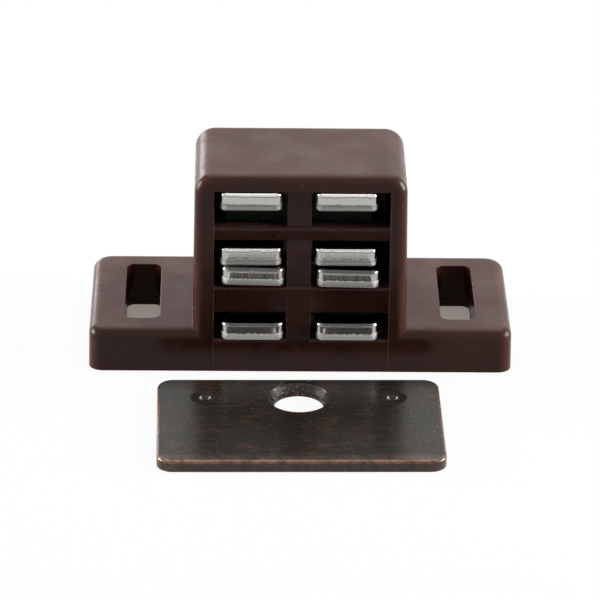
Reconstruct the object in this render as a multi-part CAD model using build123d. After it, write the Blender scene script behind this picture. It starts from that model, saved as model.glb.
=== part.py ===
from build123d import *
import os
from math import asin, degrees, radians, sin, tan

# Double magnetic catch: a moulded housing on a screw base, two ferrite magnets that each lie between
# a pair of forked steel pole plates, and the loose steel strike plate that the poles hold.
# Millimetres. The origin is the middle of the mounting face under the base, +Z points away from that
# face, and -Y is the way the pole tips look.

# --- Shared by several pieces ---
running_gap = 0.05  # air beside a face that something slides or drops past
wall_draft = 0.8  # degrees that every outer wall of the housing leans in as it rises

# --- Screw base ---
base_length = 50.8
base_depth = 21.6
base_thickness = 5.45
base_front_corner = 1.7
base_back_corner = 2.3
base_edge_radius = 1.25

# --- Screw slots ---
slot_end_inset = 6.35  # from the end of the base to the middle of a slot
slot_width = 4.25
slot_length = 15.0
slot_corner = 1.05
slot_boss_wall = 1.4
slot_ledge = 0.2  # how far the cover reaches in at each end of a slot

# --- Pole plates ---
pole_thickness = 2.2
tongue_width = 7.6
tongue_length = 2.7
tongue_corner = 1.3
die_roll = 0.4  # rounding that blanking leaves round the upper face
land_lean = 1.7  # degrees that the burnished land under it leans in on a tongue
torn_height = 0.85  # height of the torn zone under the land
torn_lean = 10.0  # degrees that the torn zone leans in

# --- Magnets and how the two packs lie ---
magnet_depth = 11.0
lower_magnet_thickness = 4.75  # the magnets are as fired, one a little thinner than the other
upper_magnet_thickness = 4.95
magnet_chamfer = 0.3
magnet_inset = 0.6  # the pole plates reach this far past each side of the magnet
pack_travel = 0.9  # how far a pack floats in and out
lower_pack_offset = -0.15  # each pack hangs a little left of the middle
upper_pack_offset = -0.4
lower_pack_slip = 0.05  # how far each pack has slipped back from fully out
upper_pack_slip = 0.65
lifted_tilt = 1.1  # degrees that the lower pack's inner plate has lifted off its magnet at the left

# --- Tower that holds the packs ---
side_play = 1.9  # air beside the pole plates, both sides together
core_draft = 0.45  # degrees that each side wall of the cavity leans in as it rises
side_wall = 2.5
rear_wall = 2.45
roof_thickness = 1.95
tower_offset = -0.15  # the tower stands this far off the middle of its cavity
tower_shoulder_radius = 2.4
tower_front_edge = 1.2
tower_back_edge = 1.5

# --- Grille across the front ---
grille_thickness = 1.9
grille_edge_radius = 0.35
sill_height = 4.25
lower_bar_gap = 1.0  # from the tongues below to the bar
lower_bar_height = 3.4
upper_bar_gap = 0.95
upper_bar_height = 1.65
bar_tilt = 6.0  # degrees that the front of a bar faces down
rib_width = 2.8
rib_play = 0.9  # air in the fork, both sides of the rib together
rib_offset = -0.32  # the rib stands a little left of the middle
rib_tilt = 3.0  # degrees that the rib leans back above the sill

# --- Underside of the housing and its cover ---
rim_width = 1.8
rim_corner = 1.0
pocket_wall = 1.9  # plastic left over the cored pockets and beside the cavity
cover_thickness = 0.8
pedestal_rise = 0.2  # how far the cover's pedestal stands above the sill
pedestal_wall = 1.5

# --- Strike plate ---
strike_length = 33.37
strike_width = 20.35
strike_thickness = 1.4
strike_corner = 1.9
strike_die_roll = 0.4
strike_gap = 5.0  # how far in front of the housing the plate lies
strike_offset = -0.23
strike_turn = 0.7  # degrees that the loose plate lies askew
strike_hole_radius = 2.93
strike_hole_inset = 4.77  # from the plate's long edge to the middle of the hole
countersink_radius = 3.65
countersink_angle = 82.0
nib_spacing = 22.1
nib_height = 0.15
nib_radius = 0.5
dimple_radius = 0.75
dimple_depth = 0.55
dent_radius = 1.7  # shallow dent that the punch draws in round each dimple
dent_depth = 0.12

# --- Places that follow from the sizes ---
slot_spacing = base_length - 2 * slot_end_inset
fork_gap = rib_width + rib_play
pole_width = 2 * tongue_width + fork_gap
magnet_width = pole_width - 2 * magnet_inset
lifted_rise = (magnet_width + pole_width) / 2 * sin(radians(lifted_tilt))
pedestal_top = sill_height + pedestal_rise
lower_pack_z = pedestal_top + running_gap
lower_pack_top = lower_pack_z + 2 * pole_thickness + lower_magnet_thickness + lifted_rise
upper_pack_z = lower_pack_top + running_gap
cavity_top = upper_pack_z + 2 * pole_thickness + upper_magnet_thickness + running_gap
cavity_width = pole_width + side_play
cavity_depth = magnet_depth + pack_travel + 2 * running_gap
base_front = -base_depth / 2
cavity_front = base_front + grille_thickness
cavity_middle = cavity_front + cavity_depth / 2
tower_width = cavity_width + 2 * side_wall
tower_depth = grille_thickness + cavity_depth + rear_wall
tower_height = cavity_top + roof_thickness
lower_bar_bottom = lower_pack_z + pole_thickness + lower_bar_gap
upper_bar_bottom = upper_pack_z + pole_thickness + upper_bar_gap
strike_hole_y = strike_width - strike_hole_inset
strike_tilt = degrees(asin(nib_height / strike_hole_y))
well_clear = base_depth  # cutters reach this far past what they cut


def lean(rise, angle):
    """How far a face that leans by an angle moves sideways over a rise."""
    return rise * tan(radians(angle))


def front_face(z):
    """Y of the housing's leaning front face at a height."""
    return base_front + lean(z, wall_draft)


def core_width(z):
    """Width of the drafted cavity at a height."""
    return cavity_width + 2 * lean(cavity_top - z, core_draft)


def along_x(points, length, rounded=None, radius=0.0):
    """Prism along X from (y, z) points, centred on X, with the numbered corner rounded if asked."""
    side_view = Polygon(*points, align=None)
    if rounded is not None:
        corner = side_view.vertices().sort_by_distance(points[rounded])[0]
        side_view = fillet(corner, radius)
    return extrude(Plane.YZ * side_view, amount=length / 2, both=True)


def upright(edges):
    """The edges that stand upright or nearly so."""
    return edges.filter_by(lambda edge: abs(edge.tangent_at(0.5).Z) > abs(edge.tangent_at(0.5).X))


def drafted_block(width, depth, height, shoulder=0.0):
    """Block flush with the front of the base whose walls lean in, with rounded shoulders if asked."""
    draft = lean(height, wall_draft)
    back = base_front + depth
    end_points = [(-width / 2, 0), (width / 2, 0), (width / 2 - draft, height), (draft - width / 2, height)]
    side_points = [(base_front, 0), (back, 0), (back - draft, height), (front_face(height), height)]
    end_view = Polygon(*end_points, align=None)
    if shoulder:
        end_view = fillet(end_view.vertices().sort_by(Axis.Y)[-2:], shoulder)
    return extrude(Plane.XZ * end_view, amount=base_depth, both=True) & along_x(side_points, 2 * width)


def base_block():
    """Screw base: rounded upright corners, then one radius round the top edge."""
    block = drafted_block(base_length, base_depth, base_thickness)
    block = fillet(upright(block.faces().sort_by(Axis.Y)[0].edges()), base_front_corner)
    block = fillet(upright(block.faces().sort_by(Axis.Y)[-1].edges()), base_back_corner)
    return fillet(block.faces().sort_by(Axis.Z)[-1].edges(), base_edge_radius)


def tower_block():
    """Tower over the packs, rounded at the shoulders and along its front and back outlines."""
    block = drafted_block(tower_width, tower_depth, tower_height, tower_shoulder_radius)
    front_outline = block.faces().sort_by(Axis.Y)[0].edges().sort_by(Axis.Z)[1:]
    block = fillet(front_outline, tower_front_edge)
    back_outline = block.faces().sort_by(Axis.Y)[-1].edges().sort_by(Axis.Z)[1:]
    return Pos(tower_offset, 0, 0) * fillet(back_outline, tower_back_edge)


def screw_slots(length):
    """Cutters for the two screw slots, right through the base or its cover."""
    slot = RectangleRounded(slot_width, length, slot_corner)
    plan = Sketch() + [place * slot for place in GridLocations(slot_spacing, 0, 2, 1)]
    return extrude(plan, amount=well_clear, both=True)


def between_side_walls():
    """Drafted core of the mould: as wide as the cavity at every height, and deeper than the base."""
    low, high = core_width(0) / 2, core_width(cavity_top) / 2
    view = Polygon((-low, 0), (low, 0), (high, cavity_top), (-high, cavity_top), align=None)
    return extrude(Plane.XZ * view, amount=well_clear, both=True)


def pack_cavity():
    """Space for the two packs, open below."""
    back = cavity_front + cavity_depth
    points = [(cavity_front, 0), (back, 0), (back, cavity_top), (cavity_front, cavity_top)]
    return along_x(points, 2 * cavity_width) & between_side_walls()


def front_window():
    """Opening through the front wall from the sill up, with the sill's front edge left rounded."""
    sill_front = front_face(sill_height)
    points = [
        (sill_front - well_clear, sill_height - well_clear),
        (sill_front, sill_height - well_clear),
        (sill_front, sill_height),
        (cavity_middle, sill_height),
        (cavity_middle, cavity_top),
        (sill_front - well_clear, cavity_top),
    ]
    window = along_x(points, 2 * cavity_width, rounded=2, radius=grille_edge_radius)
    front_of_base = Pos(0, sill_front - well_clear / 2, sill_height - grille_edge_radius - well_clear / 2)
    return (window & between_side_walls()) - front_of_base * Box(3 * cavity_width, 2 * well_clear, well_clear)


def grille_bar(bottom, height):
    """Crossbar of the grille: flush at its rounded top edge, its front leaning back below that."""
    top = bottom + height
    points = [
        (front_face(top), top),
        (front_face(top) + lean(height, bar_tilt), bottom),
        (cavity_front, bottom),
        (cavity_front, top),
    ]
    return along_x(points, 2 * cavity_width, rounded=0, radius=grille_edge_radius) & between_side_walls()


def grille_rib():
    """Upright rib that the pole plates' forks straddle, flush at the sill and leaning back above it."""
    points = [
        (front_face(sill_height), 0),
        (front_face(sill_height), sill_height),
        (front_face(sill_height) + lean(cavity_top - sill_height, rib_tilt), cavity_top),
        (cavity_front, cavity_top),
        (cavity_front, 0),
    ]
    return Pos(rib_offset, 0, 0) * along_x(points, rib_width)


def cored_pockets():
    """Pockets that keep the base's walls even: one beside each screw slot, one behind the tower."""
    inner_x = core_width(0) / 2 + pocket_wall
    outer_x = (slot_spacing - slot_width) / 2 - slot_boss_wall
    tower_back = base_front + tower_depth
    rim_y = base_depth / 2 - rim_width
    side = Rectangle(outer_x - inner_x, 2 * rim_y)
    plan = Pos(0, (tower_back + rim_y) / 2) * Rectangle(cavity_width, rim_y - tower_back)
    plan += [place * side for place in GridLocations(inner_x + outer_x, 0, 2, 1)]
    return extrude(plan, amount=base_thickness - pocket_wall)


def cover_plan(clearance):
    """Outline of the recess under the base, or of the cover that drops into it with a clearance."""
    margin = 2 * (rim_width + clearance)
    return RectangleRounded(base_length - margin, base_depth - margin, rim_corner)


def housing():
    """One-piece moulding: base and tower hollowed from below, with the grille across the front."""
    body = base_block() + tower_block()
    body -= pack_cavity() + front_window()
    body += grille_rib()
    body += grille_bar(lower_bar_bottom, lower_bar_height)
    body += grille_bar(upper_bar_bottom, upper_bar_height)
    body -= extrude(cover_plan(0), amount=cover_thickness)
    body -= cored_pockets()
    return body - screw_slots(slot_length)


def base_cover():
    """Cover let into the underside, with the hollow pedestal that the lower pack rests on."""
    cover = extrude(cover_plan(running_gap), amount=cover_thickness)
    length = core_width(pedestal_top) - 2 * running_gap
    depth = cavity_depth - 2 * running_gap
    walls = Rectangle(length, depth) - Rectangle(length - 2 * pedestal_wall, depth - 2 * pedestal_wall)
    walls += Rectangle(pedestal_wall, depth)
    cover += Pos(0, cavity_middle, 0) * extrude(walls, amount=pedestal_top)
    return cover - screw_slots(slot_length - 2 * slot_ledge)


def tongues(shape):
    """A shape made for one tongue, repeated over both."""
    return [place * shape for place in GridLocations(fork_gap + tongue_width, 0, 2, 1)]


def sheared_faces():
    """Cutter round one tongue, lying on its rolled face, that leans in the land and the torn zone."""
    land_height = pole_thickness - die_roll - torn_height
    land = extrude(Rectangle(tongue_width, 2 * tongue_length), amount=land_height, taper=land_lean)
    tongue = land + extrude(land.faces().sort_by(Axis.Z)[-1], amount=torn_height, taper=torn_lean)
    around = Box(tongue_width + fork_gap, 2 * tongue_length, 2 * pole_thickness)
    return Pos(0, 0, die_roll) * (Pos(0, -tongue_length, pole_thickness) * around - tongue)


def pole_plate():
    """Plate blanked from strip and cut off at its heel, with two tongues that pass the grille's rib."""
    plan = Pos(0, magnet_depth / 2) * Rectangle(pole_width, magnet_depth)
    plan += tongues(Pos(0, -tongue_length / 2) * Rectangle(tongue_width, tongue_length))
    plan = fillet(plan.vertices().sort_by(Axis.Y)[:4], tongue_corner)
    plate = extrude(plan, amount=pole_thickness)
    plate = fillet(plate.faces().sort_by(Axis.Z)[0].edges().sort_by(Axis.Y)[:-1], die_roll)
    plate -= tongues(sheared_faces())
    return Pos(0, 0, pole_thickness) * Rot(Y=180) * plate


def magnet(thickness):
    """Ferrite block with its upright edges broken."""
    block = Pos(0, magnet_depth / 2, thickness / 2) * Box(magnet_width, magnet_depth, thickness)
    return chamfer(upright(block.edges()), magnet_chamfer)


def magnet_pack(names, thickness, offset, slip, z, tilt=0.0):
    """The three pieces of one pack, named from the bottom up, slipped back from fully out."""
    seat = Pos(offset, cavity_front + running_gap + slip, z)
    hinge = Pos(magnet_width / 2, 0, pole_thickness + thickness)
    stack = [
        pole_plate(),
        Pos(0, 0, pole_thickness) * magnet(thickness),
        hinge * Rot(Y=tilt) * Pos(-magnet_width / 2, 0, 0) * pole_plate(),
    ]
    return {name: seat * piece for name, piece in zip(names, stack)}


def strike_blank():
    """Plate lying flat with its front edge on the X axis, and its punched upper edge rounded."""
    outline = Pos(0, strike_width / 2) * RectangleRounded(strike_length, strike_width, strike_corner)
    plate = extrude(outline, amount=strike_thickness)
    return fillet(plate.faces().sort_by(Axis.Z)[-1].edges(), strike_die_roll)


def dimple():
    """Cutter for a dimple: a punched pit in the middle of the shallow dent that it draws in."""
    half_view = Polygon(
        (0, 0), (dent_radius, 0), (dimple_radius, -dent_depth), (nib_radius, -dimple_depth), (0, -dimple_depth),
        align=None,
    )
    return revolve(Plane.XZ * half_view, Axis.Z)


def strike_plate():
    """Strike plate with its countersunk hole, and two dimples whose nibs bite the door behind."""
    centre = Pos(0, strike_hole_y, 0)
    sink_depth = (countersink_radius - strike_hole_radius) / tan(radians(countersink_angle / 2))
    sink = Cone(strike_hole_radius, countersink_radius, sink_depth)
    nib = Cone(nib_radius / 2, nib_radius, nib_height)
    plate = strike_blank()
    plate -= centre * Cylinder(strike_hole_radius, 2 * strike_thickness)
    plate -= centre * Pos(0, 0, strike_thickness - sink_depth / 2) * sink
    for place in GridLocations(nib_spacing, 0, 2, 1):
        plate -= centre * place * Pos(0, 0, strike_thickness) * dimple()
        plate += centre * place * Pos(0, 0, -nib_height / 2) * nib
    return plate


def strike_place():
    """Where the loose plate lies: in front of the poles, a little askew, propped on its nibs."""
    middle = Pos(strike_offset, base_front - strike_gap - strike_width / 2, 0)
    return middle * Rot(Z=strike_turn) * Pos(0, -strike_width / 2, 0) * Rot(X=strike_tilt)


lower_names = ("bottom_pole_plate", "lower_magnet", "lower_inner_pole_plate")
upper_names = ("upper_inner_pole_plate", "upper_magnet", "top_pole_plate")
pieces = {
    "housing": housing(),
    "base_cover": base_cover(),
    "strike_plate": strike_place() * strike_plate(),
}
pieces |= magnet_pack(
    lower_names, lower_magnet_thickness, lower_pack_offset, lower_pack_slip, lower_pack_z, lifted_tilt
)
pieces |= magnet_pack(upper_names, upper_magnet_thickness, upper_pack_offset, upper_pack_slip, upper_pack_z)

os.makedirs("parts", exist_ok=True)
for node, solid in pieces.items():
    export_step(solid, f"parts/{node}.step")
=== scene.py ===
"""Dresses and lights a double magnetic catch with its loose strike plate.

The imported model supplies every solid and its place. This script adds the flash lines of the moulding,
a finish for each material, the floor, the light and the camera. Lengths are in millimetres wherever a
name ends in _mm, and in metres otherwise. Angles are in radians, and colours are sRGB hex.
"""

import logging
import math
from dataclasses import dataclass, field
from enum import Enum
from functools import partial
from typing import Any, Callable

import bpy
from mathutils import Matrix, Vector


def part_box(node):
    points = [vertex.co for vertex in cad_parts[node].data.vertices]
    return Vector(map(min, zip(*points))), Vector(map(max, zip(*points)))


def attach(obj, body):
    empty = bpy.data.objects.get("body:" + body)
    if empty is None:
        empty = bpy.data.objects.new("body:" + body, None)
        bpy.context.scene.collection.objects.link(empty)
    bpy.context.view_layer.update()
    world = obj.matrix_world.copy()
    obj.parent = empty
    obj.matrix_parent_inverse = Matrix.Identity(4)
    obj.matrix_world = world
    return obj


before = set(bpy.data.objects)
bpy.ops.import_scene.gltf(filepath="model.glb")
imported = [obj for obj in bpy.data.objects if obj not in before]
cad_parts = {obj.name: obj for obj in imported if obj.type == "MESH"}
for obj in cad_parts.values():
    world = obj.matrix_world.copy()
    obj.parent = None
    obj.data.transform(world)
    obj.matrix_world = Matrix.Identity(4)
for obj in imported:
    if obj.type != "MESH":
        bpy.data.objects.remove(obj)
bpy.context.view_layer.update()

log = logging.getLogger("magnetic_catch")

MM = 0.001
WHITE = "ffffff"

# A colour mix shares the names of its inputs with the other kinds of mix, so these are their numbers.
SHARE, UNDER, OVER = 0, 6, 7

Range = tuple[float, float]
Triple = tuple[float, float, float]
Inputs = dict[Any, Any] | tuple[Any, ...]
Adder = Callable[..., Any]


def linear(colour: str) -> tuple[float, float, float, float]:
    """Turn an sRGB hex colour into linear light.

    Args:
        colour: Six hex digits.

    Returns:
        Red, green, blue and an alpha of 1.
    """
    channels = [int(colour[i:i + 2], 16) / 255 for i in (0, 2, 4)]
    red, green, blue = (c / 12.92 if c <= 0.04045 else ((c + 0.055) / 1.055) ** 2.4 for c in channels)
    return red, green, blue, 1.0


def per_metre(size_mm: float) -> float:
    """Texture scale for a pattern of a real size.

    Args:
        size_mm: Length over which the pattern repeats.

    Returns:
        Repeats per metre of Object coordinates.
    """
    return 1.0 / (size_mm * MM)


class Step(Enum):
    """What a node does: its type, with the settings that always go with it."""

    COORDINATES = ("ShaderNodeTexCoord", {})
    SURFACE = ("ShaderNodeNewGeometry", {})
    RAYS = ("ShaderNodeLightPath", {})
    AXES = ("ShaderNodeSeparateXYZ", {})
    VECTOR = ("ShaderNodeCombineXYZ", {})
    STRETCH = ("ShaderNodeMapping", {})
    FOLLOW = ("ShaderNodeMapping", {"vector_type": "TEXTURE"})
    NOISE = ("ShaderNodeTexNoise", {})
    CELLS = ("ShaderNodeTexVoronoi", {})
    RAMP = ("ShaderNodeMapRange", {"interpolation_type": "SMOOTHSTEP"})
    BLEND = ("ShaderNodeMix", {"data_type": "RGBA"})
    MIX = ("ShaderNodeMix", {"data_type": "FLOAT"})
    ADD = ("ShaderNodeMath", {"operation": "ADD"})
    SUBTRACT = ("ShaderNodeMath", {"operation": "SUBTRACT"})
    MULTIPLY = ("ShaderNodeMath", {"operation": "MULTIPLY"})
    ABSOLUTE = ("ShaderNodeMath", {"operation": "ABSOLUTE"})
    MINIMUM = ("ShaderNodeMath", {"operation": "MINIMUM"})
    MAXIMUM = ("ShaderNodeMath", {"operation": "MAXIMUM"})
    LESS_THAN = ("ShaderNodeMath", {"operation": "LESS_THAN"})
    SINE = ("ShaderNodeMath", {"operation": "SINE"})
    DISTANCE = ("ShaderNodeVectorMath", {"operation": "DISTANCE"})
    ROUND = ("ShaderNodeBevel", {})
    BUMP = ("ShaderNodeBump", {})
    MATT = ("ShaderNodeBsdfDiffuse", {})
    GLOW = ("ShaderNodeEmission", {})
    MIX_SHADERS = ("ShaderNodeMixShader", {})
    FINISHED = ("ShaderNodeOutputMaterial", {})
    GIVEN = ("NodeGroupInput", {})
    LINE = ("GeometryNodeCurvePrimitiveLine", {})
    DIVIDE = ("GeometryNodeResampleCurve", {})
    RANDOM = ("FunctionNodeRandomValue", {"data_type": "FLOAT"})
    SHIFT = ("GeometryNodeSetPosition", {})
    CIRCLE = ("GeometryNodeCurvePrimitiveCircle", {})
    SWEEP = ("GeometryNodeCurveToMesh", {})
    ROW = ("GeometryNodeMeshLine", {})
    REPEAT = ("GeometryNodeInstanceOnPoints", {})
    REALIZE = ("GeometryNodeRealizeInstances", {})
    DRESS = ("GeometryNodeSetMaterial", {})
    RESULT = ("NodeGroupOutput", {})


def feed(tree: bpy.types.NodeTree, node: Any, inputs: Inputs) -> None:
    """Link or set a node's inputs.

    Args:
        tree: The node's tree.
        node: The node that takes them.
        inputs: Input name or number to what it gets, or a tuple of what the first inputs get. An output
            is linked, a node is linked from its first live output, and any other value is set.
    """
    for key, value in inputs.items() if isinstance(inputs, dict) else enumerate(inputs):
        if isinstance(value, bpy.types.Node):
            value = next(output for output in value.outputs if output.enabled)
        if isinstance(value, bpy.types.NodeSocket):
            tree.links.new(value, node.inputs[key])
        else:
            node.inputs[key].default_value = value


def add_node(tree: bpy.types.NodeTree, step: Step, inputs: Inputs = (), **settings: Any) -> Any:
    """Add a node with its settings and links.

    Args:
        tree: The node tree that gets the node.
        step: What the node does.
        inputs: What its inputs get, as feed takes them.
        settings: The node's own properties, beyond the usual ones for this step.

    Returns:
        The new node.
    """
    kind, usual = step.value
    node = tree.nodes.new(kind)
    for name, value in (usual | settings).items():
        setattr(node, name, value)
    feed(tree, node, inputs)
    return node


class Level(Enum):
    """One of the two magnet packs, with its pieces from the bottom up."""

    LOWER = ("bottom_pole_plate", "lower_magnet", "lower_inner_pole_plate")
    UPPER = ("upper_inner_pole_plate", "upper_magnet", "top_pole_plate")


@dataclass(frozen=True)
class Finish:
    """What every finish shares: a material with one Principled shader."""

    name: str

    def material(self) -> bpy.types.Material:
        """Make the material and feed its shader with what the finish says.

        Returns:
            The finished material.
        """
        material = bpy.data.materials.new(self.name)
        material.use_nodes = True
        tree = material.node_tree
        feed(tree, tree.nodes["Principled BSDF"], self.look(partial(add_node, tree)))
        return material

    def look(self, add: Adder) -> dict[str, Any]:
        """Add the finish's own nodes.

        Args:
            add: Adds a node to the material, as add_node does.

        Returns:
            What the inputs of the Principled shader get.
        """
        raise NotImplementedError

    def specks(self, add: Adder, place: Any, size_mm: float, edge: Range, rarity: Range, full: float) -> Any:
        """Strew small round specks, at most one in each cell and none in most.

        Args:
            add: Adds a node to the material.
            place: Coordinates in metres.
            size_mm: Size of the cells.
            edge: Distances from a speck's middle, in cells, at which it fades out and is full.
            rarity: Shares of the cells that have no speck, and that have less than a full one.
            full: Value of a full speck.

        Returns:
            The specks' value, from 0 to full.
        """
        cells = add(Step.CELLS, {"Vector": place, "Scale": per_metre(size_mm)}).outputs
        chance = add(Step.AXES, (cells["Color"],)).outputs["X"]
        spot = add(Step.RAMP, (cells["Distance"], *edge))
        return add(Step.MULTIPLY, (spot, add(Step.RAMP, (chance, *rarity, 0.0, full))))


@dataclass(frozen=True)
class MouldedPlastic(Finish):
    """Injection moulded ABS, brown all through: a dark satin skin with faint flow marks, hazed by handling."""

    colour: str = "452318"
    flow_colour: str = "3a1e17"
    haze_colour: str = "7a5a57"
    dust_colour: str = "6d5b54"
    speck_colour: str = "9a7c72"
    roughness: float = 0.24
    roughness_spread: Range = (-0.05, 0.08)
    ior: float = 1.28
    flow_mm: float = 7.0
    tint_mm: float = 5.5
    cloud_mm: float = 5.0
    cloud_share: Range = (0.42, 0.92)
    haze_share: float = 0.62
    hair_mm: float = 0.3
    hair_stretch: float = 0.07
    hair_angle: float = math.radians(38)
    hair_share: Range = (0.82, 1.15)
    speck_mm: float = 0.7
    sheen_mm: float = 1.6
    arris_mm: float = 0.16
    wave_mm: float = 4.0
    wave_depth_mm: float = 0.02
    peel_mm: float = 0.45
    peel_depth_mm: float = 0.004

    def haze(self, add: Adder, place: Any) -> Any:
        """Lay handling and dust on the upward faces, in soft clouds crossed by hair scratches.

        Args:
            add: Adds a node to the material.
            place: Object coordinates.

        Returns:
            How much haze covers the plastic.
        """
        upward = add(Step.AXES, (add(Step.SURFACE).outputs["Normal"],)).outputs["Z"]
        level = add(Step.RAMP, (upward, 0.8, 1.0, 0.0, self.haze_share))
        inputs = {"Vector": place, "Scale": per_metre(self.cloud_mm), "Detail": 1.0, "Roughness": 0.4}
        clouds = add(Step.RAMP, (add(Step.NOISE, inputs), 0.36, 0.7, *self.cloud_share))
        turned = add(Step.STRETCH, {"Vector": place, "Rotation": (0.0, 0.0, self.hair_angle)})
        drawn = add(Step.STRETCH, {"Vector": turned, "Scale": (1, self.hair_stretch, 1)})
        inputs = {"Vector": drawn, "Scale": per_metre(self.hair_mm), "Detail": 4.0, "Roughness": 0.7}
        hairs = add(Step.RAMP, (add(Step.NOISE, inputs), 0.38, 0.66, *self.hair_share))
        return add(Step.MULTIPLY, (add(Step.MULTIPLY, (level, clouds)), hairs))

    def skin(self, add: Adder, place: Any) -> Any:
        """Give the surface a slow wave and a fine orange peel, and its arrises a hair of rounding.

        Args:
            add: Adds a node to the material.
            place: Object coordinates.

        Returns:
            The bumped normal.
        """
        # No moulded arris is quite sharp, so each one catches a hair of light.
        arris = add(Step.ROUND, {"Radius": self.arris_mm * MM}, samples=6)
        wave = add(Step.NOISE, {"Vector": place, "Scale": per_metre(self.wave_mm), "Detail": 1.0})
        waved = add(Step.BUMP, {"Height": wave, "Distance": self.wave_depth_mm * MM, "Normal": arris})
        peel = add(Step.NOISE, {"Vector": place, "Scale": per_metre(self.peel_mm)})
        return add(Step.BUMP, {"Height": peel, "Distance": self.peel_depth_mm * MM, "Normal": waved})

    def look(self, add: Adder) -> dict[str, Any]:
        """Put flow marks, haze and specks in the colour, and a soft orange peel in the bump.

        Args:
            add: Adds a node to the material.

        Returns:
            What the inputs of the Principled shader get.
        """
        place = add(Step.COORDINATES).outputs["Object"]
        flow = add(Step.NOISE, {"Vector": place, "Scale": per_metre(self.flow_mm), "Detail": 3.0})
        flow = add(Step.RAMP, (flow, 0.35, 0.65))
        colour = add(Step.BLEND, {SHARE: flow, UNDER: linear(self.flow_colour), OVER: linear(self.colour)})

        # The haze is pinkish in places and greyer in others.
        tint = add(Step.NOISE, {"Vector": place, "Scale": per_metre(self.tint_mm), "Detail": 1.5})
        tint = add(Step.RAMP, (tint, 0.35, 0.65))
        veil = add(Step.BLEND, {SHARE: tint, UNDER: linear(self.haze_colour), OVER: linear(self.dust_colour)})
        colour = add(Step.BLEND, {SHARE: self.haze(add, place), UNDER: colour, OVER: veil})

        # Scattered pale specks: flakes of flash and lint.
        specks = self.specks(add, place, self.speck_mm, edge=(0.16, 0.07), rarity=(0.88, 0.97), full=0.7)
        colour = add(Step.BLEND, {SHARE: specks, UNDER: colour, OVER: linear(self.speck_colour)})

        inputs = {"Vector": place, "Scale": per_metre(self.sheen_mm), "Detail": 4.0, "Roughness": 0.6}
        smooth, dull = (self.roughness + spread for spread in self.roughness_spread)
        sheen = add(Step.RAMP, (add(Step.NOISE, inputs), 0.3, 0.7, smooth, dull))
        return {"Base Color": colour, "Roughness": sheen, "Normal": self.skin(add, place), "IOR": self.ior}


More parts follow.
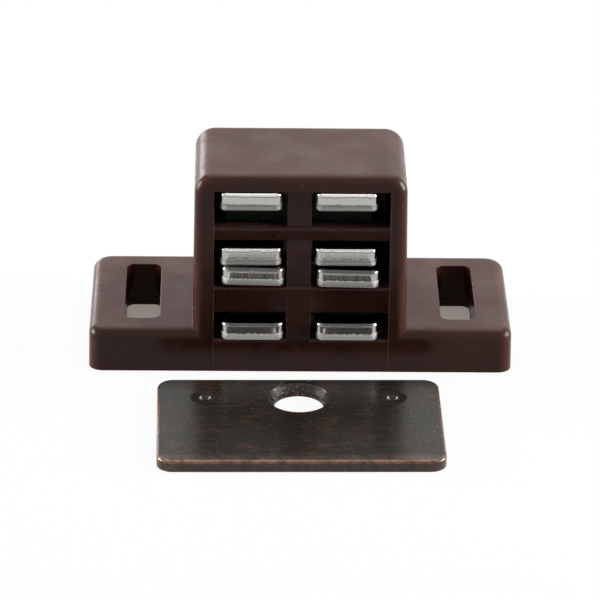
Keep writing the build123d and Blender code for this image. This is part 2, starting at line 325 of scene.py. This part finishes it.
@dataclass(frozen=True)
class ZincPlatedSteel(Finish):
    """Blanked strip steel, zinc plated: a roll on top in painted highlight, a mirror-like land, and a grey torn
    zone below.

    foot is the x of the plate's right end and the z of its underside, and middle is the x of its middle.
    """

    foot: Range = (0.0, 0.0)
    middle: float = 0.0
    tilt: float = 0.0
    colour: str = "b2b1ad"
    # The roll and torn colours are painted light and shade, set for each plate.
    roll_painted_light_colour: str = "d3d2ce"
    torn_painted_light_colours: tuple[str, str] = ("b2b1ae", "7c7b79")
    streak_colour: str = "5e5d5b"
    # Painted shade colour, for the zinc behind the grille, the crease and the tongue's ends.
    painted_shade_colour: str = "1c1a19"
    roll_mm: float = 1.93
    roll_soft_mm: float = 0.1
    crease_drop_mm: float = 0.12
    crease_mm: Range = (0.1, 0.03)
    crease_share: float = 0.55
    torn_mm: float = 0.85
    torn_soft_mm: float = 0.05
    ragged_mm: float = 0.48
    ragged_size_mm: float = 0.5
    ragged_stretch: float = 0.2
    grain_mm: float = 0.22
    grain_depth_mm: float = 0.03
    drag_mm: float = 0.16
    drag_stretch: float = 0.08
    drag_depth_mm: float = 0.003
    tongue_mm: float = 5.65
    tongue_half_mm: float = 3.8
    barrelling_mm: float = 0.35
    tip_mm: float = -10.7
    inside_mm: float = -9.3

    def above_foot(self, add: Adder, along: Any) -> Any:
        """Measure up from the plate's own underside, which leans where one side of the plate has lifted.

        Args:
            add: Adds a node to the material.
            along: The Object coordinates X, Y and Z.

        Returns:
            The height, in metres.
        """
        right, low = self.foot
        rise = add(Step.MULTIPLY, (add(Step.SUBTRACT, (right, along["X"])), math.tan(self.tilt)))
        return add(Step.SUBTRACT, (add(Step.SUBTRACT, (along["Z"], low)), rise))

    def off_tongue(self, add: Adder, along: Any) -> Any:
        """Measure sideways from the middle of the nearer tongue.

        Args:
            add: Adds a node to the material.
            along: The Object coordinates X, Y and Z.

        Returns:
            The distance, in metres.
        """
        off_middle = add(Step.ABSOLUTE, (add(Step.SUBTRACT, (along["X"], self.middle)),))
        return add(Step.ABSOLUTE, (add(Step.SUBTRACT, (off_middle, self.tongue_mm * MM)),))

    def torn_grey(self, add: Adder, height: Any, aside: Any, grain: Any) -> Any:
        """Colour the torn zone in painted light that changes towards the foot, with painted shade round the
        tongue's ends.

        Args:
            add: Adds a node to the material.
            height: Height over the foot.
            aside: Distance from the middle of a tongue.
            grain: The torn grain.

        Returns:
            The colour.
        """
        # Painted light: the torn greys, set for each plate, stand in for the light the zone catches.
        foot_colour, top_colour = (linear(colour) for colour in self.torn_painted_light_colours)
        up = add(Step.RAMP, (height, 0.1 * MM, self.torn_mm * MM))
        grey = add(Step.BLEND, {SHARE: up, UNDER: foot_colour, OVER: top_colour})
        grains = add(Step.RAMP, (grain, 0.3, 0.7, 0.0, 0.35))
        grey = add(Step.BLEND, {SHARE: grains, UNDER: grey, OVER: linear(self.colour)})
        # Painted shade round the tongue's ends.
        start, full = (self.tongue_half_mm - 0.35) * MM, (self.tongue_half_mm - 0.1) * MM
        end = add(Step.RAMP, (aside, start, full, 0.0, 0.75))
        return add(Step.BLEND, {SHARE: end, UNDER: grey, OVER: linear(self.painted_shade_colour)})

    def with_roll(self, add: Adder, colour: Any, height: Any, line: Any, aside: Any) -> Any:
        """Lay the roll's painted light over the land, with the thin dark crease of painted shade that it ends
        in. Its ends stay bright.

        Args:
            add: Adds a node to the material.
            colour: Colour of what lies below.
            height: Height over the foot.
            line: The same height with a ragged shift.
            aside: Distance from the middle of a tongue.

        Returns:
            The colour.
        """
        start, full = (self.tongue_half_mm - 0.3) * MM, (self.tongue_half_mm - 1.0) * MM
        central = add(Step.RAMP, (aside, start, full))
        start, full = (self.roll_mm - self.roll_soft_mm) * MM, self.roll_mm * MM
        # The roll's colour is painted light, or painted shade on the lower pack.
        on_roll = add(Step.MULTIPLY, (add(Step.RAMP, (height, start, full)), central))
        colour = add(Step.BLEND, {SHARE: on_roll, UNDER: colour, OVER: linear(self.roll_painted_light_colour)})

        # The crease is painted shade.
        crease_at = (self.roll_mm - self.crease_drop_mm) * MM
        off_crease = add(Step.ABSOLUTE, (add(Step.SUBTRACT, (line, crease_at)),))
        start, full = (width * MM for width in self.crease_mm)
        crease_shade = add(Step.RAMP, (off_crease, start, full, 0.0, self.crease_share))
        crease_shade = add(Step.MULTIPLY, (crease_shade, central))
        return add(Step.BLEND, {SHARE: crease_shade, UNDER: colour, OVER: linear(self.painted_shade_colour)})

    def look(self, add: Adder) -> dict[str, Any]:
        """Make three zones of the cut edge, one over the other, each with its own colour and polish.

        Args:
            add: Adds a node to the material.

        Returns:
            What the inputs of the Principled shader get.
        """
        place = add(Step.COORDINATES).outputs["Object"]
        along = add(Step.AXES, (place,)).outputs
        height, aside = self.above_foot(add, along), self.off_tongue(add, along)
        facing = add(Step.AXES, (add(Step.SURFACE).outputs["Normal"],)).outputs["Z"]
        on_edge = add(Step.RAMP, (add(Step.ABSOLUTE, (facing,)), 0.9, 0.6))
        inputs = {"Vector": place, "Scale": per_metre(self.grain_mm), "Detail": 3.0, "Roughness": 0.7}
        grain = add(Step.NOISE, inputs)
        drawn = add(Step.STRETCH, {"Vector": place, "Scale": (1, 1, self.drag_stretch)})
        drag = add(Step.NOISE, {"Vector": drawn, "Scale": per_metre(self.drag_mm), "Roughness": 0.6})

        # The torn zone starts at a ragged line.
        drawn = add(Step.STRETCH, {"Vector": place, "Scale": (1, 1, self.ragged_stretch)})
        ragged = add(Step.NOISE, {"Vector": drawn, "Scale": per_metre(self.ragged_size_mm), "Detail": 3.0})
        shift = add(Step.MULTIPLY, (add(Step.SUBTRACT, (ragged, 0.5)), self.ragged_mm * MM))
        line = add(Step.ADD, (height, shift))
        start, full = (self.torn_mm + self.torn_soft_mm) * MM, (self.torn_mm - self.torn_soft_mm) * MM
        torn = add(Step.MULTIPLY, (add(Step.RAMP, (line, start, full)), on_edge))

        # The punch has drawn faint dark streaks down the land.
        streaks = add(Step.RAMP, (drag, 0.42, 0.25, 0.0, 0.3))
        land = add(Step.BLEND, {SHARE: streaks, UNDER: linear(self.colour), OVER: linear(self.streak_colour)})
        grey = self.torn_grey(add, height, aside, grain)
        colour = add(Step.BLEND, {SHARE: torn, UNDER: land, OVER: grey})
        colour = self.with_roll(add, colour, height, line, aside)

        # Behind the grille the zinc is painted dark as painted shade, so it takes no light of its own.
        painted_inside_shade = add(Step.RAMP, (along["Y"], self.tip_mm * MM, self.inside_mm * MM))
        colour = add(Step.BLEND, {SHARE: painted_inside_shade, UNDER: colour, OVER: linear(self.painted_shade_colour)})

        smooth = add(Step.RAMP, (drag, 0.3, 0.7, 0.07, 0.2))
        dull = add(Step.RAMP, (grain, 0.3, 0.7, 0.38, 0.6))
        polish = add(Step.MIX, {0: torn, 2: smooth, 3: dull})

        # Barrel plating has worn every arris round.
        barrelled = add(Step.ROUND, {"Radius": self.barrelling_mm * MM}, samples=8)
        streaked = add(Step.MULTIPLY, (drag, on_edge))
        marks = add(Step.BUMP, {"Height": streaked, "Distance": self.drag_depth_mm * MM, "Normal": barrelled})
        grained = add(Step.MULTIPLY, (grain, torn))
        rough = add(Step.BUMP, {"Height": grained, "Distance": self.grain_depth_mm * MM, "Normal": marks})
        return {"Base Color": colour, "Roughness": polish, "Normal": rough, "Metallic": 1.0}


@dataclass(frozen=True)
class SinteredFerrite(Finish):
    """Pressed and sintered ferrite: dull greenish black with a ground face and fine pores."""

    colour: str = "2b2c26"
    pore_colour: str = "1b1c17"
    pore_mm: float = 0.3
    grind_mm: float = 0.2
    grind_stretch: float = 0.06
    grind_depth_mm: float = 0.01
    roughness: float = 0.65
    ior: float = 1.2

    def look(self, add: Adder) -> dict[str, Any]:
        """Put pores in the colour and grinding lines in the bump.

        Args:
            add: Adds a node to the material.

        Returns:
            What the inputs of the Principled shader get.
        """
        place = add(Step.COORDINATES).outputs["Object"]
        inputs = {"Vector": place, "Scale": per_metre(self.pore_mm), "Detail": 3.0, "Roughness": 0.7}
        pores = add(Step.RAMP, (add(Step.NOISE, inputs), 0.35, 0.6))
        colour = add(Step.BLEND, {SHARE: pores, UNDER: linear(self.pore_colour), OVER: linear(self.colour)})
        drawn = add(Step.STRETCH, {"Vector": place, "Scale": (self.grind_stretch, 1, 1)})
        ground = add(Step.NOISE, {"Vector": drawn, "Scale": per_metre(self.grind_mm), "Detail": 1.0})
        lines = add(Step.BUMP, {"Height": ground, "Distance": self.grind_depth_mm * MM})
        return {"Base Color": colour, "Normal": lines, "Roughness": self.roughness, "IOR": self.ior}


@dataclass(frozen=True)
class BronzedSteel(Finish):
    """Copper plated strip, oxidised and lacquered: dark bronze, brushed lengthwise, copper where it wears.

    centre, tilt and turn say how the plate lies, so that the pattern follows its length and width.
    """

    centre: Triple = (0.0, 0.0, 0.0)
    tilt: float = 0.0
    turn: float = 0.0
    colour: str = "27241f"
    warm_colour: str = "48322a"
    copper_colour: str = "c28a6a"
    speck_colour: str = "a88470"
    bare_colour: str = "211c1b"
    flake_colour: str = "8c6c62"
    half_length_mm: float = 16.65
    half_width_mm: float = 10.175
    rim_mm: Range = (0.7, 0.4)
    front_mm: float = 1.0
    corner_mm: Range = (6.0, 1.0)
    fringe_mm: Range = (2.2, 0.5)
    patch_mm: float = 1.1
    mottle_mm: float = 2.4
    mottle_depth_mm: float = 0.02
    brush_mm: float = 0.28
    brush_stretch: float = 0.05
    brush_depth_mm: float = 0.0015
    speck_mm: float = 0.42
    hole_mm: float = 5.405
    sink_mm: float = 3.5
    ring_mm: float = 0.18
    ring_depth_mm: float = 0.01
    flake_mm: float = 0.45
    cut_share: float = 0.4

    def from_edge(self, add: Adder, coordinate: Any, half_mm: float) -> Any:
        """Measure in from a pair of parallel edges.

        Args:
            add: Adds a node to the material.
            coordinate: Distance from the middle between the edges, with its sign.
            half_mm: Half of the distance between the edges.

        Returns:
            The distance, in metres.
        """
        return add(Step.SUBTRACT, (half_mm * MM, add(Step.ABSOLUTE, (coordinate,))))

    def wear(self, add: Adder, flat: Any) -> tuple[Any, Any]:
        """Rub the lacquer through along the rims, most at the front and at its corners.

        Args:
            add: Adds a node to the material.
            flat: Coordinates on the plate.

        Returns:
            The bare copper of the rounded upper edge, and the thin lacquer along the front.
        """
        upward = add(Step.AXES, (add(Step.SURFACE).outputs["Normal"],)).outputs["Z"]
        off_face = add(Step.RAMP, (upward, 0.999, 0.93))
        rounding = add(Step.MULTIPLY, (off_face, add(Step.RAMP, (upward, -0.1, 0.4, 0.08, 1.0))))
        along = add(Step.AXES, (flat,)).outputs
        ends = self.from_edge(add, along["X"], self.half_length_mm)
        sides = self.from_edge(add, along["Y"], self.half_width_mm)
        start, full = (inset * MM for inset in self.rim_mm)
        rim = add(Step.RAMP, (add(Step.MINIMUM, (ends, sides)), start, full))
        start, full = (self.front_mm - self.half_width_mm) * MM, -self.half_width_mm * MM
        front = add(Step.RAMP, (along["Y"], start, full, 0.3, 0.55))
        start, full = (inset * MM for inset in self.corner_mm)
        corner = add(Step.RAMP, (ends, start, full, 0.6, 1.0))
        inputs = {"Vector": flat, "Scale": per_metre(self.patch_mm), "Detail": 5.0, "Roughness": 0.7}
        patchy = add(Step.RAMP, (add(Step.NOISE, inputs), 0.34, 0.6, 0.2, 1.0))
        rubbed = add(Step.MULTIPLY, (add(Step.MULTIPLY, (rounding, rim)), patchy))
        copper = add(Step.MULTIPLY, (add(Step.MULTIPLY, (front, corner)), rubbed))

        start, full = ((inset - self.half_width_mm) * MM for inset in self.fringe_mm)
        thin = add(Step.RAMP, (along["Y"], start, full))
        thin = add(Step.MULTIPLY, (add(Step.MULTIPLY, (thin, corner)), patchy))
        return copper, add(Step.MULTIPLY, (thin, add(Step.RAMP, (upward, 0.2, 0.95, 0.08, 0.34))))

    def countersink(self, add: Adder, flat: Any) -> tuple[Any, Any, Any]:
        """Cut the countersink through the plating: dull bare steel with flakes and the cutter's rings.

        Args:
            add: Adds a node to the material.
            flat: Coordinates on the plate.

        Returns:
            Where it is, its colour and the height of its rings.
        """
        radius = add(Step.DISTANCE, (flat, (0.0, self.hole_mm * MM, 0.0)))
        start, full = (self.sink_mm + 0.02) * MM, (self.sink_mm - 0.05) * MM
        cut = add(Step.RAMP, (radius, start, full))
        turns = add(Step.MULTIPLY, (radius, 2 * math.pi / (self.ring_mm * MM)))
        rings = add(Step.MULTIPLY, (add(Step.SINE, (turns,)), cut))
        inputs = {"Vector": flat, "Scale": per_metre(self.flake_mm), "Detail": 4.0, "Roughness": 0.75}
        flakes = add(Step.RAMP, (add(Step.NOISE, inputs), 0.55, 0.66, 0.0, 0.8))
        bare = add(Step.BLEND, {SHARE: flakes, UNDER: linear(self.bare_colour), OVER: linear(self.flake_colour)})
        return cut, bare, rings

    def look(self, add: Adder) -> dict[str, Any]:
        """Put brush lines along the plate, with warm mottling, specks, wear and the countersink.

        Args:
            add: Adds a node to the material.

        Returns:
            What the inputs of the Principled shader get.
        """
        place = add(Step.COORDINATES).outputs["Object"]
        inputs = {"Vector": place, "Location": self.centre, "Rotation": (self.tilt, 0.0, self.turn)}
        flat = add(Step.FOLLOW, inputs)
        inputs = {"Vector": flat, "Scale": per_metre(self.mottle_mm), "Detail": 5.0, "Roughness": 0.65}
        mottle = add(Step.NOISE, inputs)
        drawn = add(Step.STRETCH, {"Vector": flat, "Scale": (self.brush_stretch, 1, 1)})
        inputs = {"Vector": drawn, "Scale": per_metre(self.brush_mm), "Detail": 3.0, "Roughness": 0.6}
        brushed = add(Step.NOISE, inputs)
        warm = (add(Step.RAMP, (mottle, 0.48, 0.68)), add(Step.RAMP, (brushed, 0.3, 0.6)))
        warm = add(Step.MULTIPLY, warm)
        colour = add(Step.BLEND, {SHARE: warm, UNDER: linear(self.colour), OVER: linear(self.warm_colour)})

        copper, thin = self.wear(add, flat)
        colour = add(Step.BLEND, {SHARE: copper, UNDER: colour, OVER: linear(self.copper_colour)})
        colour = add(Step.BLEND, {SHARE: thin, UNDER: colour, OVER: linear(self.speck_colour)})

        # Fine bright specks where the lacquer is nicked.
        nicks = self.specks(add, flat, self.speck_mm, edge=(0.25, 0.1), rarity=(0.6, 0.97), full=0.75)
        colour = add(Step.BLEND, {SHARE: nicks, UNDER: colour, OVER: linear(self.speck_colour)})

        cut, bare, rings = self.countersink(add, flat)
        colour = add(Step.BLEND, {SHARE: cut, UNDER: colour, OVER: bare})
        dulled = add(Step.MULTIPLY, (cut, self.cut_share))
        metal = add(Step.RAMP, (add(Step.MAXIMUM, (copper, dulled)), 0.0, 1.0, 0.35, 1.0))
        polish = add(Step.MAXIMUM, (add(Step.RAMP, (brushed, 0.25, 0.75, 0.23, 0.29)), dulled))

        grooves = add(Step.BUMP, {"Height": rings, "Distance": self.ring_depth_mm * MM})
        lines = add(Step.BUMP, {"Height": brushed, "Distance": self.brush_depth_mm * MM, "Normal": grooves})
        uneven = add(Step.BUMP, {"Height": mottle, "Distance": self.mottle_depth_mm * MM, "Normal": lines})
        return {"Base Color": colour, "Metallic": metal, "Roughness": polish, "Normal": uneven}


@dataclass
class FlashLines:
    """Two hair-fine ridges where the mould's sliding core met its cavity, upright on the front."""

    name: str
    finish: MouldedPlastic
    spacing_mm: float
    centre_mm: float
    foot_mm: float
    top_mm: float = 23.3
    lean: float = math.radians(0.8)
    wall_lean: float = math.radians(0.8)
    radius_mm: float = 0.05
    sides: int = 8
    waver_mm: float = 0.03
    points: int = 60
    seed: int = 7
    tree: bpy.types.NodeTree = field(init=False)

    def make_tree(self, material: bpy.types.Material) -> None:
        """Build the node tree: a wavering line, swept to a ridge, repeated on the other side.

        Args:
            material: What the ridges are made of.
        """
        tree = bpy.data.node_groups.new(self.name, "GeometryNodeTree")
        sizes = {
            "Foot": "NodeSocketVector", "Head": "NodeSocketVector", "Spacing": "NodeSocketFloat",
            "Radius": "NodeSocketFloat", "Waver": "NodeSocketFloat", "Seed": "NodeSocketInt",
        }
        for name, kind in sizes.items():
            tree.interface.new_socket(name, in_out="INPUT", socket_type=kind)
        tree.interface.new_socket("Geometry", in_out="OUTPUT", socket_type="NodeSocketGeometry")
        add = partial(add_node, tree)
        given = add(Step.GIVEN).outputs

        line = add(Step.LINE, {"Start": given["Foot"], "End": given["Head"]})
        points = add(Step.DIVIDE, {"Curve": line, "Count": self.points})
        side = add(Step.RANDOM, {"Seed": given["Seed"]})
        shift = add(Step.VECTOR, {"X": add(Step.MULTIPLY, (side, given["Waver"]))})
        wavering = add(Step.SHIFT, {"Geometry": points, "Offset": shift})
        section = add(Step.CIRCLE, {"Resolution": self.sides, "Radius": given["Radius"]})
        ridge = add(Step.SWEEP, {"Curve": wavering, "Profile Curve": section, "Fill Caps": True})

        across = add(Step.VECTOR, {"X": given["Spacing"]})
        pair = add(Step.ROW, {"Count": 2, "Offset": across})
        real = add(Step.REALIZE, {"Geometry": add(Step.REPEAT, {"Points": pair, "Instance": ridge})})
        add(Step.RESULT, {"Geometry": add(Step.DRESS, {"Geometry": real, "Material": material})})
        self.tree = tree

    def build(self) -> bpy.types.Object:
        """Make the ridges on the front of the housing.

        Returns:
            The finished piece, which rides on the housing.
        """
        self.make_tree(self.finish.material())
        low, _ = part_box("housing")
        left = (self.centre_mm - self.spacing_mm / 2) * MM
        foot, top = self.foot_mm * MM, self.top_mm * MM
        front = low.y + foot * math.tan(self.wall_lean)
        values = {
            "Foot": Vector((left, front, foot)),
            "Head": Vector((left, front + (top - foot) * math.tan(self.lean), top)),
            "Spacing": self.spacing_mm * MM,
            "Radius": self.radius_mm * MM,
            "Waver": self.waver_mm * MM,
            "Seed": self.seed,
        }
        carrier = bpy.data.objects.new("carrier", bpy.data.meshes.new("carrier"))
        bpy.context.scene.collection.objects.link(carrier)
        modifier = carrier.modifiers.new("flash", "NODES")
        modifier.node_group = self.tree
        for item in self.tree.interface.items_tree:
            if item.in_out == "INPUT":
                modifier[item.identifier] = values[item.name]
        bpy.context.view_layer.update()
        evaluated = carrier.evaluated_get(bpy.context.evaluated_depsgraph_get())
        mesh = bpy.data.meshes.new_from_object(evaluated)
        bpy.data.objects.remove(carrier)
        piece = bpy.data.objects.new(self.name, mesh)
        bpy.context.scene.collection.objects.link(piece)
        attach(piece, "housing")
        return piece


def dress(node: str, material: bpy.types.Material) -> None:
    """Give a CAD node its material.

    Args:
        node: The node's name.
        material: What it is made of.
    """
    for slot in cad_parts[node].material_slots:
        slot.material = material
    log.info("%s: %s", node, material.name)


@dataclass
class Housing:
    """The moulded housing, its cover and the flash lines on its front."""

    moulding: MouldedPlastic = MouldedPlastic("abs_moulded_brown")
    cover: MouldedPlastic = MouldedPlastic(
        "abs_moulded_cover", colour="3a1c15", flow_colour="30170f", roughness=0.45
    )
    flash: MouldedPlastic = MouldedPlastic("abs_flash", colour="6b463c", flow_colour="5b382f")
    rib_lean: float = math.radians(3.0)

    def build(self) -> None:
        """Dress the two mouldings and add the flash lines."""
        dress("housing", self.moulding.material())
        dress("base_cover", self.cover.material())
        core = FlashLines("core_flash", self.flash, spacing_mm=20.96, centre_mm=0.0, foot_mm=0.15)
        rib = FlashLines("rib_flash", self.flash, spacing_mm=2.8, centre_mm=-0.32, foot_mm=4.25)
        rib.lean = self.rib_lean
        for ridges in (core, rib):
            log.info("%s: two ridges", ridges.build().name)


@dataclass
class MagnetPack:
    """One ferrite magnet between two forked pole plates."""

    level: Level
    lifted: str = "lower_inner_pole_plate"
    lifted_tilt: float = math.radians(1.1)

    def plate(self, node: str) -> ZincPlatedSteel:
        """Make the finish of one plate, with its zones measured from its own underside.

        Args:
            node: The plate's name.

        Returns:
            The finish, with painted shade dulling the lower pack's roll and painted light paling the torn zone
            of all but the top plate.
        """
        low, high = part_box(node)
        lie: dict[str, Any] = {
            "foot": (high.x, low.z),
            "middle": (low.x + high.x) / 2,
            "tilt": self.lifted_tilt if node == self.lifted else 0.0,
        }
        # Painted light and shade: each pack gets its own roll and torn colours.
        if self.level is Level.LOWER:
            lie |= {"roll_painted_light_colour": "555452", "torn_painted_light_colours": ("a6a5a2", "cdccc8")}
        elif node == self.level.value[0]:
            lie |= {"roll_painted_light_colour": "cdccc8", "torn_painted_light_colours": ("d0cfcc", "9a9996")}
        return ZincPlatedSteel(f"zinc_plated_{node}", **lie)

    def build(self) -> None:
        """Dress the two plates and the magnet."""
        lower_plate, magnet, upper_plate = self.level.value
        for plate in (lower_plate, upper_plate):
            dress(plate, self.plate(plate).material())
        dress(magnet, SinteredFerrite(f"sintered_{magnet}").material())


@dataclass
class StrikePlate:
    """The loose plate, which lies a little askew and is propped on its nibs."""

    turn: float = math.radians(0.7)
    tilt: float = math.radians(0.5516)

    def build(self) -> None:
        """Dress the plate with a finish that follows its own length and width."""
        low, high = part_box("strike_plate")
        centre = tuple((low + high) / 2)
        dress("strike_plate", BronzedSteel("bronzed_steel", centre, self.tilt, self.turn).material())


@dataclass
class Lamp:
    """A square soft box that faces the catch."""

    name: str
    place: Triple
    size: float
    watts: float

    def build(self) -> None:
        """Hang the lamp and turn it to the middle of the catch."""
        light = bpy.data.lights.new(self.name, "AREA")
        light.size = self.size
        light.energy = self.watts
        lamp = bpy.data.objects.new(self.name, light)
        lamp.location = self.place
        lamp.rotation_euler = (-Vector(self.place)).to_track_quat("-Z", "Y").to_euler()
        bpy.context.scene.collection.objects.link(lamp)


@dataclass
class Studio:
    """White floor and surroundings, soft boxes and the camera."""

    ambient: float = 0.105
    floor_size: float = 4.0
    floor_drop_mm: float = 0.02
    floor_colour: str = "848484"
    glow: float = 1.32
    open_glow: float = 0.7
    # The dimmer, warmer glow under the base is painted shade and painted bounce light.
    covered_glow: float = 0.19
    covered_colour: str = "f2e4da"
    covered_margin_mm: float = 3.0
    target: Triple = (-0.000137, -0.0108, 0.009555)
    azimuth: float = math.radians(1.096)
    elevation: float = math.radians(26.0)
    roll: float = math.radians(0.83)
    distance: float = 0.4813
    lens_mm: float = 242.48
    sensor_mm: float = 36.0
    clip_start: float = 0.01
    lamps: tuple[Lamp, ...] = (
        Lamp("overhead_box", (0.0, 0.18, 0.55), size=0.6, watts=1.62),
        Lamp("left_window", (-0.5, 0.06, 0.08), size=0.3, watts=4.7),
        Lamp("right_window", (0.5, 0.0, 0.12), size=0.3, watts=4.6),
        Lamp("rear_window", (-0.28, 0.52, 0.0), size=0.26, watts=0.75),
    )

    def seen_directly(self, add: Adder) -> Any:
        """Tell the rays that end up in a view from those that only light.

        Args:
            add: Adds a node to a material or world.

        Returns:
            One for rays from the camera and for those that a mirror or glass passes on, else zero.
        """
        rays = add(Step.RAYS).outputs
        seen = add(Step.MAXIMUM, (rays["Is Camera Ray"], rays["Is Glossy Ray"]))
        return add(Step.MAXIMUM, (seen, rays["Is Transmission Ray"]))

    def surround(self) -> None:
        """Make it white all round where it is seen, and a plain level of light where it only lights."""
        world = bpy.data.worlds.new("surround")
        bpy.context.scene.world = world
        world.use_nodes = True
        tree = world.node_tree
        add = partial(add_node, tree)
        strength = add(Step.RAMP, (self.seen_directly(add), 0.0, 1.0, self.ambient, 1.0))
        feed(tree, tree.nodes["Background"], {"Strength": strength, "Color": linear(WHITE)})

    def covered(self, add: Adder) -> Any:
        """Tell the floor under the base from the open floor.

        Args:
            add: Adds a node to the floor's material.

        Returns:
            One under the base and zero outside it.
        """
        spot = add(Step.AXES, (add(Step.COORDINATES).outputs["Object"],)).outputs
        _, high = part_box("housing")
        margin = self.covered_margin_mm * MM
        across = add(Step.LESS_THAN, (add(Step.ABSOLUTE, (spot["X"],)), high.x - margin))
        deep = add(Step.LESS_THAN, (add(Step.ABSOLUTE, (spot["Y"],)), high.y - margin))
        return add(Step.MULTIPLY, (across, deep))

    def paper(self) -> bpy.types.Material:
        """Make the floor's pale paper, which looks white where it is seen in the open.

        Returns:
            The material.
        """
        material = bpy.data.materials.new("floor_paper")
        material.use_nodes = True
        material.node_tree.nodes.clear()
        add = partial(add_node, material.node_tree)
        matt = add(Step.MATT, {"Color": linear(self.floor_colour)})

        # Under the base the glow is dimmed as painted shade, and warmed as painted light that has come off its
        # brown walls.
        covered = self.covered(add)
        warmth = add(Step.BLEND, {SHARE: covered, UNDER: linear(WHITE), OVER: linear(self.covered_colour)})
        glow = add(Step.GLOW, {"Color": warmth, "Strength": self.glow})
        share = add(Step.RAMP, (covered, 0.0, 1.0, self.open_glow, self.covered_glow))
        amount = add(Step.MULTIPLY, (self.seen_directly(add), share))
        add(Step.FINISHED, {"Surface": add(Step.MIX_SHADERS, (amount, matt, glow))})
        return material

    def floor(self) -> None:
        """Lay the floor, a hair under the catch."""
        half = self.floor_size / 2
        drop = self.floor_drop_mm * MM
        corners = [(-half, -half, -drop), (half, -half, -drop), (half, half, -drop), (-half, half, -drop)]
        mesh = bpy.data.meshes.new("floor")
        mesh.from_pydata(corners, [], [(0, 1, 2, 3)])
        mesh.materials.append(self.paper())
        floor = bpy.data.objects.new("floor", mesh)
        bpy.context.scene.collection.objects.link(floor)

    def camera(self) -> None:
        """Set up a long lens, which looks slightly down at the pole tips."""
        forward = Vector((
            math.sin(self.azimuth) * math.cos(self.elevation),
            math.cos(self.azimuth) * math.cos(self.elevation),
            -math.sin(self.elevation),
        ))
        level = Vector((math.cos(self.azimuth), -math.sin(self.azimuth), 0))
        right = Matrix.Rotation(-self.roll, 3, forward) @ level
        up = right.cross(forward)
        data = bpy.data.cameras.new("camera")
        data.lens = self.lens_mm
        data.sensor_width = self.sensor_mm
        data.clip_start = self.clip_start
        camera = bpy.data.objects.new("camera", data)
        turned = Matrix((right, up, -forward)).transposed().to_4x4()
        camera.matrix_world = Matrix.Translation(Vector(self.target) - forward * self.distance) @ turned
        bpy.context.scene.collection.objects.link(camera)
        bpy.context.scene.camera = camera

    def build(self) -> None:
        """Set up everything round the catch."""
        self.surround()
        self.floor()
        for lamp in self.lamps:
            lamp.build()
        self.camera()
        bpy.context.scene.view_settings.view_transform = "Standard"
        log.info("studio: %d lamps", len(self.lamps))


def main() -> None:
    """Dress the catch, piece by piece, and set up the studio."""
    logging.basicConfig(level=logging.INFO, format="%(name)s: %(message)s")
    Housing().build()
    for level in Level:
        MagnetPack(level).build()
    StrikePlate().build()
    Studio().build()


if __name__ == "__main__":
    main()
